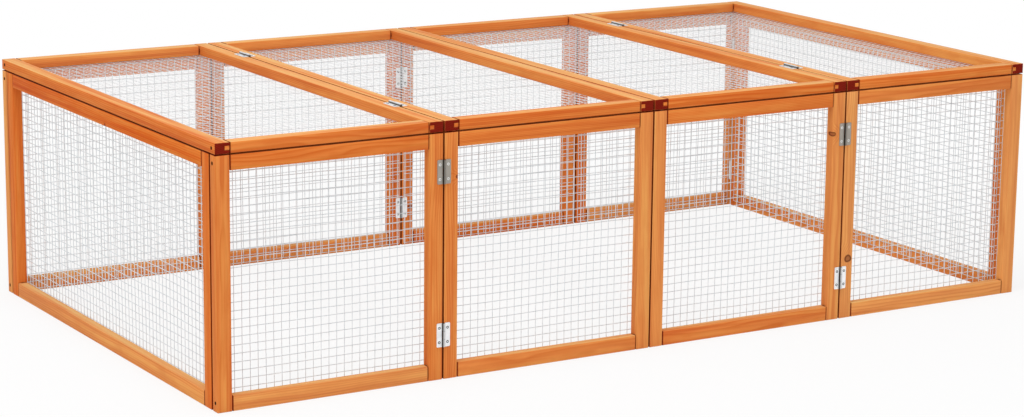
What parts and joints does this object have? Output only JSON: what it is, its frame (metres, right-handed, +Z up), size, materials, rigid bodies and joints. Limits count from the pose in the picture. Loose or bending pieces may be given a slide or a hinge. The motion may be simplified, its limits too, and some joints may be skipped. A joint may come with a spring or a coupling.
{
  "type": "outdoor rabbit run",
  "caption": "Foldable outdoor run for small animals: wire-netted timber wall panels hinged to fold to and fro, under a roof of netted lids in hinged pairs that flip open and lift off.",
  "frame": {"origin": "middle of the footprint, on the ground", "axes": "+X along the front wall from left to right, +Y from the front wall to the back wall, +Z up"},
  "size_m": [1.809, 1.0106, 0.4853],
  "materials": {
    "stained_fir_stiles": "planed fir with a thin orange-brown stain, satin",
    "stained_fir_rails": "planed fir with a thin orange-brown stain, satin",
    "galvanised_wire": "welded wire net, galvanised, dull",
    "zinc_plated_steel": "pressed steel butt hinges, zinc plated, satin"
  },
  "bodies": {
    "left_end": {"left_end_stiles": "stained_fir_stiles", "left_end_rails": "stained_fir_rails", "left_end_net": "galvanised_wire", "left_end_hinges": "zinc_plated_steel"},
    "front_1": {"front_1_stiles": "stained_fir_stiles", "front_1_rails": "stained_fir_rails", "front_1_net": "galvanised_wire", "front_1_hinges": "zinc_plated_steel"},
    "front_2": {"front_2_stiles": "stained_fir_stiles", "front_2_rails": "stained_fir_rails", "front_2_net": "galvanised_wire", "front_2_hinges": "zinc_plated_steel"},
    "front_3": {"front_3_stiles": "stained_fir_stiles", "front_3_rails": "stained_fir_rails", "front_3_net": "galvanised_wire", "front_3_hinges": "zinc_plated_steel"},
    "front_4": {"front_4_stiles": "stained_fir_stiles", "front_4_rails": "stained_fir_rails", "front_4_net": "galvanised_wire", "front_4_hinges": "zinc_plated_steel"},
    "back_1": {"back_1_stiles": "stained_fir_stiles", "back_1_rails": "stained_fir_rails", "back_1_net": "galvanised_wire", "back_1_hinges": "zinc_plated_steel"},
    "back_2": {"back_2_stiles": "stained_fir_stiles", "back_2_rails": "stained_fir_rails", "back_2_net": "galvanised_wire", "back_2_hinges": "zinc_plated_steel"},
    "back_3": {"back_3_stiles": "stained_fir_stiles", "back_3_rails": "stained_fir_rails", "back_3_net": "galvanised_wire", "back_3_hinges": "zinc_plated_steel"},
    "back_4": {"back_4_stiles": "stained_fir_stiles", "back_4_rails": "stained_fir_rails", "back_4_net": "galvanised_wire", "back_4_hinges": "zinc_plated_steel"},
    "right_end": {"right_end_stiles": "stained_fir_stiles", "right_end_rails": "stained_fir_rails", "right_end_net": "galvanised_wire", "right_end_hinges": "zinc_plated_steel"},
    "lid_1": {"lid_1_stiles": "stained_fir_stiles", "lid_1_rails": "stained_fir_rails", "lid_1_net": "galvanised_wire", "lid_1_hinges": "zinc_plated_steel"},
    "lid_2": {"lid_2_stiles": "stained_fir_stiles", "lid_2_rails": "stained_fir_rails", "lid_2_net": "galvanised_wire", "lid_2_hinges": "zinc_plated_steel"},
    "lid_3": {"lid_3_stiles": "stained_fir_stiles", "lid_3_rails": "stained_fir_rails", "lid_3_net": "galvanised_wire", "lid_3_hinges": "zinc_plated_steel"},
    "lid_4": {"lid_4_stiles": "stained_fir_stiles", "lid_4_rails": "stained_fir_rails", "lid_4_net": "galvanised_wire", "lid_4_hinges": "zinc_plated_steel"}
  },
  "joints": [
    {"name": "fold", "type": "hinge", "parent": "left_end", "child": "front_1", "pos_m": [-0.8817, -0.4772, 0.229], "axis": [0, 0, 1], "range_deg": [0, 90]},
    {"name": "front_seam_1_2_turn", "type": "hinge", "parent": "front_1", "child": "front_2", "pos_m": [-0.453, -0.5028, 0.229], "axis": [0, 0, 1], "range_deg": [-180, 0]},
    {"name": "front_seam_2_3_turn", "type": "hinge", "parent": "front_2", "child": "front_3", "pos_m": [0, -0.4772, 0.229], "axis": [0, 0, 1], "range_deg": [0, 180]},
    {"name": "front_seam_3_4_turn", "type": "hinge", "parent": "front_3", "child": "front_4", "pos_m": [0.453, -0.5028, 0.229], "axis": [0, 0, 1], "range_deg": [-180, 0]},
    {"name": "back_corner_turn", "type": "hinge", "parent": "left_end", "child": "back_1", "pos_m": [-0.8817, 0.4772, 0.229], "axis": [0, 0, 1], "range_deg": [-90, 0]},
    {"name": "back_seam_1_2_turn", "type": "hinge", "parent": "back_1", "child": "back_2", "pos_m": [-0.453, 0.5028, 0.229], "axis": [0, 0, 1], "range_deg": [0, 180]},
    {"name": "back_seam_2_3_turn", "type": "hinge", "parent": "back_2", "child": "back_3", "pos_m": [0, 0.4772, 0.229], "axis": [0, 0, 1], "range_deg": [-180, 0]},
    {"name": "back_seam_3_4_turn", "type": "hinge", "parent": "back_3", "child": "back_4", "pos_m": [0.453, 0.5028, 0.229], "axis": [0, 0, 1], "range_deg": [0, 180]},
    {"name": "right_end_turn", "type": "hinge", "parent": "front_4", "child": "right_end", "pos_m": [0.8817, -0.4772, 0.229], "axis": [0, 0, 1], "range_deg": [0, 90]},
    {"name": "left_lids_lift", "type": "slide", "parent": "left_end", "child": "lid_2", "axis": [0, 0, 1], "range_m": [0, 0.3]},
    {"name": "lid_1_turn", "type": "hinge", "parent": "lid_2", "child": "lid_1", "pos_m": [-0.453, 0, 0.4828], "axis": [0, 1, 0], "range_deg": [0, 180]},
    {"name": "right_lids_lift", "type": "slide", "parent": "left_end", "child": "lid_3", "axis": [0, 0, 1], "range_m": [0, 0.3]},
    {"name": "lid_4_turn", "type": "hinge", "parent": "lid_3", "child": "lid_4", "pos_m": [0.453, 0, 0.4828], "axis": [0, 1, 0], "range_deg": [-180, 0]}
  ],
  "couplings": [
    {"joint": "front_seam_1_2_turn", "follows": "fold", "ratio": -2},
    {"joint": "front_seam_2_3_turn", "follows": "fold", "ratio": 2},
    {"joint": "front_seam_3_4_turn", "follows": "fold", "ratio": -2},
    {"joint": "back_corner_turn", "follows": "fold", "ratio": -1},
    {"joint": "back_seam_1_2_turn", "follows": "fold", "ratio": 2},
    {"joint": "back_seam_2_3_turn", "follows": "fold", "ratio": -2},
    {"joint": "back_seam_3_4_turn", "follows": "fold", "ratio": 2},
    {"joint": "right_end_turn", "follows": "fold", "ratio": 1}
  ]
}
